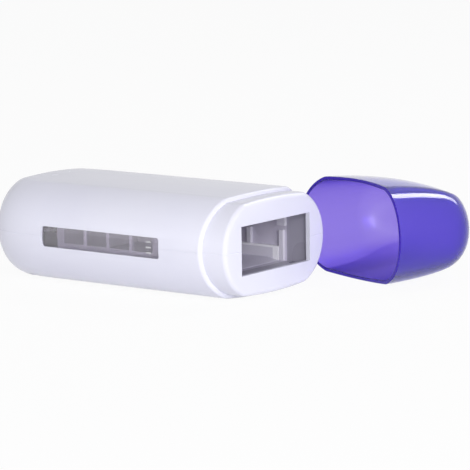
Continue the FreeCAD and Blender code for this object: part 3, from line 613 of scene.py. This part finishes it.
class Field:
    """A number inside a node tree, so that formulas can be written as arithmetic."""

    def __init__(self, tree, socket):
        self.tree = tree
        self.socket = socket

    def math(self, operation, *others):
        """Number that a Math node makes of this one and the others."""
        row, column = divmod(len(self.tree.nodes), SHEET_COLUMNS)
        node = add_node(self.tree, "ShaderNodeMath", 200 * column, -180 * row,
                        operation=operation)
        for place, value in enumerate((self, *others)):
            if isinstance(value, Field):
                self.tree.links.new(value.socket, node.inputs[place])
            else:
                node.inputs[place].default_value = value
        return Field(self.tree, node.outputs[0])

    def __add__(self, other):
        return self.math("ADD", other)

    def __sub__(self, other):
        return self.math("SUBTRACT", other)

    def __mul__(self, other):
        return self.math("MULTIPLY", other)

    def __truediv__(self, other):
        return self.math("DIVIDE", other)

    def __pow__(self, other):
        return self.math("POWER", other)

    def at_least(self, other):
        """This number, or the other where that is larger."""
        return self.math("MAXIMUM", other)

    def at_most(self, other):
        """This number, or the other where that is smaller."""
        return self.math("MINIMUM", other)

    def rest(self):
        """1 minus this number."""
        return self * -1.0 + 1.0

    def root(self):
        """Square root of this number."""
        return self.math("SQRT")

    def choose(self, when_zero, when_one):
        """One number where this is 0 and another where it is 1."""
        return when_zero + (when_one - when_zero) * self


print("arithmetic ready")

# %% Trees with named sizes


def sized_tree(name, sizes):
    """Geometry Nodes tree with a material input, its input node and its sizes as fields."""
    tree = bpy.data.node_groups.new(name, "GeometryNodeTree")
    tree.interface.new_socket("Geometry", in_out="OUTPUT", socket_type="NodeSocketGeometry")
    tree.interface.new_socket("Material", in_out="INPUT", socket_type="NodeSocketMaterial")
    for title, value in sizes.items():
        kind = "NodeSocketInt" if isinstance(value, int) else "NodeSocketFloat"
        tree.interface.new_socket(title, in_out="INPUT", socket_type=kind).default_value = value
    start = add_node(tree, "NodeGroupInput", -900, 400)
    return tree, start, {title: Field(tree, start.outputs[title]) for title in sizes}


def end_tree(tree, start, socket):
    """Realize Instances and Set Material at the end of a tree."""
    real = add_node(tree, "GeometryNodeRealizeInstances", 3200, 400)
    paint = add_node(tree, "GeometryNodeSetMaterial", 3400, 400)
    end = add_node(tree, "NodeGroupOutput", 3600, 400)
    tree.links.new(socket, real.inputs[0])
    tree.links.new(real.outputs[0], paint.inputs["Geometry"])
    tree.links.new(start.outputs["Material"], paint.inputs["Material"])
    tree.links.new(paint.outputs[0], end.inputs[0])


def plain_mesh(item, name):
    """The object with its modifiers worked out, as a plain mesh; the object goes."""
    evaluated = item.evaluated_get(bpy.context.evaluated_depsgraph_get())
    mesh = bpy.data.meshes.new_from_object(evaluated)
    mesh.name = name
    bpy.data.objects.remove(item)
    return mesh


def grown(name, tree, material):
    """Plain mesh that a Geometry Nodes tree makes in this material."""
    seed = into_scene(f"{name}_seed", bpy.data.meshes.new(f"{name}_seed"))
    modifier = seed.modifiers.new(name, "NODES")
    modifier.node_group = tree
    for item in tree.interface.items_tree:
        if item.in_out == "INPUT" and item.name == "Material":
            modifier[item.identifier] = material
    return plain_mesh(seed, name)


print("tree tools ready")

# %% Sizes of the cap
CAP_SIZES = {
    # name of the tree's input: value in metres, a plain number or a count
    "Length": 56.6 * MM, "Half Width": 42.4 * MM, "Half Height": 25.5 * MM,
    "Side Radius": 25.7 * MM, "Crown Radius": 270.0 * MM, "Corner Radius": 10.3 * MM,
    "Plan Round": 22.1 * MM, "Plan Power": 2.26, "Edge Round": 76.2 * MM, "Edge Power": 3.05,
    "Bow": 5.5 * MM, "Bow Radius": 166.2 * MM, "Blunt": 0.9 * MM, "Rows": 72, "Columns": 193,
}
QUARTERS = 4.0
ARCS = 3.0
SIDE_CROWDING = 1.6
ROW_CROWDING = 2.0
BLUNT_REACH = 4.0
CLOSE_GAP = 0.002 * MM
print(f"cap: {CAP_SIZES['Length'] / MM:.1f} by {CAP_SIZES['Half Width'] * 2 / MM:.1f} mm")

# %% The rule of the section


def closing(distance, length, power):
    """Share of the full size left at a distance from the closed end."""
    return (((distance / length).rest().at_least(0.0) ** power).rest()) ** (power ** -1.0)


def section_point(size, wide, high, arc, along):
    """Point of the eight-arc section: arc 0 is the side, 1 the corner and 2 the crown."""
    side = size["Side Radius"] * high
    crown = size["Crown Radius"] * high
    corner = size["Corner Radius"] * high
    side_y = size["Half Width"] * wide - side
    crown_z = size["Half Height"] * high - crown
    reach_side = side - corner
    reach_crown = crown - corner
    apart = (side_y * side_y + crown_z * crown_z).root()
    spread = ((reach_crown ** 2.0 + apart ** 2.0 - reach_side ** 2.0)
              / (reach_crown * apart * 2.0)).math("ARCCOSINE")
    turn_crown = (crown_z * -1.0).math("ARCTAN2", side_y) - spread
    corner_y = reach_crown * turn_crown.math("COSINE")
    corner_z = crown_z + reach_crown * turn_crown.math("SINE")
    turn_side = corner_z.math("ARCTAN2", corner_y - side_y)
    past_side = arc.math("GREATER_THAN", 0.5)
    past_corner = arc.math("GREATER_THAN", 1.5)
    zero = side * 0.0
    middle_y = past_corner.choose(past_side.choose(side_y, corner_y), zero)
    middle_z = past_corner.choose(past_side.choose(zero, corner_z), crown_z)
    radius = past_corner.choose(past_side.choose(side, corner), crown)
    start = past_corner.choose(past_side.choose(zero, turn_side), turn_crown)
    end = past_corner.choose(past_side.choose(turn_side, turn_crown), zero + math.pi / 2)
    turn = start + (end - start) * along
    return middle_y + radius * turn.math("COSINE"), middle_z + radius * turn.math("SINE")


def round_place(column, columns):
    """Where a column stands on the section: its arc, the share along it, and two signs."""
    around = column / (columns - 1.0) * QUARTERS
    quarter = around.math("FLOOR").at_most(QUARTERS - 1)
    within = around - quarter
    mirrored = quarter.math("MODULO", 2.0)
    step = mirrored.choose(within, within.rest()) * ARCS
    arc = step.math("FLOOR").at_most(ARCS - 1)
    along = step - arc
    # On the side arc the columns draw together towards the corner.
    on_side = arc.math("LESS_THAN", 0.5)
    along = on_side.choose(along, (along.rest() ** SIDE_CROWDING).rest())
    left = (quarter - 1.5).math("ABSOLUTE").math("LESS_THAN", 1.0)
    below = quarter.math("GREATER_THAN", 1.5)
    return arc, along, left * -2.0 + 1.0, below * -2.0 + 1.0


print("section rule ready")

# %% Skin of the cap


def cap_tree():
    """Geometry Nodes tree that bends a grid into the outer skin of the cap."""
    tree, start, size = sized_tree("cap_rule", CAP_SIZES)
    index = Field(tree, add_node(tree, "GeometryNodeInputIndex", -900, 100).outputs[0])
    row = (index / size["Columns"]).math("FLOOR")
    column = index - row * size["Columns"]
    arc, along, sign_y, sign_z = round_place(column, size["Columns"])

    full = size["Length"] * 0.0 + 1.0
    rim_y, _ = section_point(size, full, full, arc, along)
    rim = size["Bow"] - size["Bow Radius"] + (size["Bow Radius"] ** 2.0 - rim_y ** 2.0).root()
    share = (row / (size["Rows"] - 1.0)).rest() ** ROW_CROWDING
    distance = (size["Length"] - rim) * share
    wide = closing(distance, size["Plan Round"], size["Plan Power"])
    high = (closing(distance, size["Edge Round"], size["Edge Power"])
            / closing(size["Length"], size["Edge Round"], size["Edge Power"]))
    y, z = section_point(size, wide, high, arc, along)
    near_end = (distance / (size["Blunt"] * BLUNT_REACH)).rest().at_least(0.0)
    x = size["Length"] - distance - size["Blunt"] * near_end
    place = add_node(tree, "ShaderNodeCombineXYZ", 2600, 0)
    for axis, value in enumerate((x, y * sign_y, z * sign_z)):
        tree.links.new(value.socket, place.inputs[axis])

    grid = add_node(tree, "GeometryNodeMeshGrid", 2600, 400)
    tree.links.new(start.outputs["Rows"], grid.inputs["Vertices X"])
    tree.links.new(start.outputs["Columns"], grid.inputs["Vertices Y"])
    bend = add_node(tree, "GeometryNodeSetPosition", 2800, 400)
    close = add_node(tree, "GeometryNodeMergeByDistance", 3000, 400, Distance=CLOSE_GAP)
    tree.links.new(grid.outputs["Mesh"], bend.inputs["Geometry"])
    tree.links.new(place.outputs[0], bend.inputs["Position"])
    tree.links.new(bend.outputs[0], close.inputs["Geometry"])
    end_tree(tree, start, close.outputs[0])
    return tree


cap_skin = grown("cap_skin", cap_tree(), cap_violet)
print(f"cap skin: {len(cap_skin.vertices)} points, {len(cap_skin.polygons)} faces")

# %% [markdown]
# The skin lies in the frame of the cap's own axis.  Its faces get the first finish and are made to
# look outwards, and it is moved to where the cap lies beside the heater, with the place in its
# mesh.

# %% Cap in its place
CAP_PLACE = (5.5 * MM, 53.0 * MM)
CAP_TURN = math.radians(71.5)

work = bmesh.new()
work.from_mesh(cap_skin)
for face in work.faces:
    face.material_index = 0
bmesh.ops.recalc_face_normals(work, faces=work.faces)
centre = Vector((CAP_SIZES["Length"] / 2, 0, 0))
inward = sum(face.normal.dot(face.calc_center_median() - centre) < 0 for face in work.faces)
if inward > len(work.faces) / 2:
    bmesh.ops.reverse_faces(work, faces=work.faces)
lowest = min(vert.co.z for vert in work.verts)
work.transform(Matrix.Translation((*CAP_PLACE, floor_z - lowest))
               @ Matrix.Rotation(CAP_TURN, 4, "Z"))
skin_mesh = bpy.data.meshes.new("cap_skin_placed")
work.to_mesh(skin_mesh)
work.free()
skin_mesh.shade_smooth()
for material in (cap_violet, cap_rim):
    skin_mesh.materials.append(material)
skin = into_scene("cap_skin_placed", skin_mesh)
print(f"cap turned by {math.degrees(CAP_TURN):.1f} degrees")

# %% [markdown]
# The wall is a little thicker where it turns its corners, and there the cap is deeper in colour.
# A vertex group says how thick the wall is: 1 on the corners and 0 on the wide faces and the
# sides, with smooth steps between, and 0 at the rim, which has to fit over the neck.

# %% Where the wall is thicker
RIM_BAND = 9.0 * MM
CORNER_STARTS = (38, 66)
CORNER_ENDS = (85, 89.3)
TINY = 1e-6


def smooth_step(value, start, end):
    """0 before start, 1 after end, with a smooth rise between."""
    share = min(max((value - start) / (end - start), 0), 1)
    return share * share * (3 - 2 * share)


rim_centre = Vector((*CAP_PLACE, 0))
axis = Vector((math.cos(CAP_TURN), math.sin(CAP_TURN), 0))
across = Vector((-math.sin(CAP_TURN), math.cos(CAP_TURN), 0))
thick = skin.vertex_groups.new(name="corner")
for vert in skin_mesh.vertices:
    turn = math.degrees(math.atan2(abs(vert.normal.z), abs(vert.normal.dot(across)) + TINY))
    share = smooth_step(turn, *CORNER_STARTS) - smooth_step(turn, *CORNER_ENDS)
    from_rim = (vert.co - rim_centre).dot(axis)
    share *= smooth_step(from_rim, 0, RIM_BAND) * (1 - vert.normal.dot(axis) ** 2)
    thick.add([vert.index], share, "REPLACE")
print("vertex group:", thick.name)

# %% [markdown]
# The skin becomes a moulding with two modifiers.  Solidify gives it the wall, inwards, and paints
# the rim with its own finish: light that enters a clear wall by its edge never comes out again, so
# the rim of such a cap is its darkest, deepest violet.  Bevel rounds the two edges of the rim.

# %% Cap moulding
CAP_WALL = 1.7 * MM
CORNER_WALL = 2.1 * MM
RIM_ROUND = 0.5 * MM
RIM_ANGLE = math.radians(60)
INNER_MIDDLE = 0.4

wall = skin.modifiers.new("wall", "SOLIDIFY")
wall.thickness = CORNER_WALL
wall.vertex_group = "corner"
wall.thickness_vertex_group = CAP_WALL / CORNER_WALL
wall.offset = -1
wall.material_offset_rim = 1
edge = skin.modifiers.new("rim", "BEVEL")
edge.width = RIM_ROUND
edge.segments = 3
edge.limit_method = "ANGLE"
edge.angle_limit = RIM_ANGLE
edge.harden_normals = True
cap_mesh = plain_mesh(skin, "cap_moulding")

middle = rim_centre + axis * CAP_SIZES["Length"] * INNER_MIDDLE
inside = cap_mesh.attributes.new("inside", "FLOAT", "POINT")
for vert in cap_mesh.vertices:
    inside.data[vert.index].value = float(vert.normal.dot(vert.co - middle) < 0)
print("inner points:", sum(item.value > 0.5 for item in inside.data), "of", len(inside.data))
as_piece("cap_moulding", cap_mesh, "cap", "cap_body")

# %% [markdown]
# ## Screws and level marks
#
# Two self-tapping screws go up through wells in the lower shell.  They could be modelled one by
# one, but they are alike, so one screw is built in a tree, its cross recess cut with a boolean,
# and placed on the points of a short line.  Three small raised bars on the window show how much
# wax is left, and repeat in the same way.

# %% Screws on a line of points
SCREW_SIZES = {
    "Head Radius": 2.68 * MM, "Head Height": 2.0 * MM, "Shank Radius": 1.4 * MM,
    "Shank Length": 14.0 * MM, "Recess Length": 3.2 * MM, "Recess Width": 0.75 * MM,
    "Recess Depth": 1.1 * MM,
}
SCREW_START = (-133.995 * MM, -24.0 * MM, -11.0 * MM)
SCREW_APART = 48.0 * MM
HEAD_SIDES = 40
SHANK_SIDES = 24


def rod(tree, radius, length, sides, middle, y):
    """Upright cylinder whose middle is at a height; y is its row on the sheet."""
    body = add_node(tree, "GeometryNodeMeshCylinder", 0, y, Vertices=sides)
    tree.links.new(radius.socket, body.inputs["Radius"])
    tree.links.new(length.socket, body.inputs["Depth"])
    way = add_node(tree, "ShaderNodeCombineXYZ", 400, y - 150)
    tree.links.new(middle.socket, way.inputs["Z"])
    move = add_node(tree, "GeometryNodeTransform", 600, y)
    tree.links.new(body.outputs["Mesh"], move.inputs["Geometry"])
    tree.links.new(way.outputs[0], move.inputs["Translation"])
    return move.outputs[0]


def screw_tree():
    """Head with a cross recess on its lower side, a shank, and both on a line of two points."""
    tree, start, size = sized_tree("screw_rule", SCREW_SIZES)
    tall, long = size["Head Height"], size["Shank Length"]
    head = rod(tree, size["Head Radius"], tall, HEAD_SIDES, tall * 0.5, 300)
    cut = add_node(tree, "GeometryNodeMeshBoolean", 800, 300, operation="DIFFERENCE")
    tree.links.new(head, cut.inputs[0])
    for turn, (long_axis, short_axis) in enumerate((("X", "Y"), ("Y", "X"))):
        bar = add_node(tree, "GeometryNodeMeshCube", 0, -200 - 300 * turn)
        sides = add_node(tree, "ShaderNodeCombineXYZ", -200, -200 - 300 * turn)
        tree.links.new(size["Recess Length"].socket, sides.inputs[long_axis])
        tree.links.new(size["Recess Width"].socket, sides.inputs[short_axis])
        tree.links.new((size["Recess Depth"] * 2.0).socket, sides.inputs["Z"])
        tree.links.new(sides.outputs[0], bar.inputs["Size"])
        tree.links.new(bar.outputs["Mesh"], cut.inputs["Mesh 2"])
    shank = rod(tree, size["Shank Radius"], long, SHANK_SIDES, tall + long * 0.5, -900)
    whole = add_node(tree, "GeometryNodeJoinGeometry", 1000, 0)
    tree.links.new(cut.outputs["Mesh"], whole.inputs[0])
    tree.links.new(shank, whole.inputs[0])
    line = add_node(tree, "GeometryNodeMeshLine", 1000, -400, Count=2)
    line.inputs["Start Location"].default_value = SCREW_START
    line.inputs["Offset"].default_value = (0, SCREW_APART, 0)
    placed = add_node(tree, "GeometryNodeInstanceOnPoints", 1300, 0)
    tree.links.new(line.outputs[0], placed.inputs["Points"])
    tree.links.new(whole.outputs[0], placed.inputs["Instance"])
    end_tree(tree, start, placed.outputs[0])
    return tree


screws = grown("shell_screws_turned", screw_tree(), zinc_steel)
screws.shade_smooth()
screws.set_sharp_from_angle(angle=SMOOTH_ANGLE)
as_piece("shell_screws_turned", screws, "shell_screws")
print(f"screws: {len(screws.polygons)} faces")

# %% Level marks on the window
MARK_SIZES = {
    "Count": 3, "Pitch": 2.7 * MM, "Length": 3.0 * MM, "Stand": 0.5 * MM, "Height": 0.7 * MM,
}
MARK_PLACE = (-46.3 * MM, -41.2 * MM, -2.7 * MM)
MARK_ROUND = 0.12 * MM


def mark_tree():
    """Small bars on a vertical line of points."""
    tree, start, _ = sized_tree("level_mark_rule", MARK_SIZES)
    bar = add_node(tree, "GeometryNodeMeshCube", 200, 300)
    sides = add_node(tree, "ShaderNodeCombineXYZ", 0, 300)
    for title, axis in (("Length", "X"), ("Stand", "Y"), ("Height", "Z")):
        tree.links.new(start.outputs[title], sides.inputs[axis])
    tree.links.new(sides.outputs[0], bar.inputs["Size"])
    step = add_node(tree, "ShaderNodeCombineXYZ", 0, -200)
    tree.links.new(start.outputs["Pitch"], step.inputs["Z"])
    line = add_node(tree, "GeometryNodeMeshLine", 200, -200)
    line.inputs["Start Location"].default_value = MARK_PLACE
    tree.links.new(start.outputs["Count"], line.inputs["Count"])
    tree.links.new(step.outputs[0], line.inputs["Offset"])
    placed = add_node(tree, "GeometryNodeInstanceOnPoints", 600, 0)
    tree.links.new(line.outputs[0], placed.inputs["Points"])
    tree.links.new(bar.outputs["Mesh"], placed.inputs["Instance"])
    end_tree(tree, start, placed.outputs[0])
    return tree


bars = grown("level_marks", mark_tree(), mark_pale)
work = bmesh.new()
work.from_mesh(bars)
bmesh.ops.bevel(work, geom=work.edges[:], offset=MARK_ROUND, segments=2, affect="EDGES")
work.to_mesh(bars)
work.free()
marks = into_scene("level_marks", bars)
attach(marks, "heater")
print(f"level marks: {len(bars.polygons)} faces")

# %% [markdown]
# ## Picture settings
#
# The Standard view shows a colour as it is written, where Blender's usual view would soften the
# whites.

# %% Picture settings
bpy.context.scene.view_settings.view_transform = "Standard"
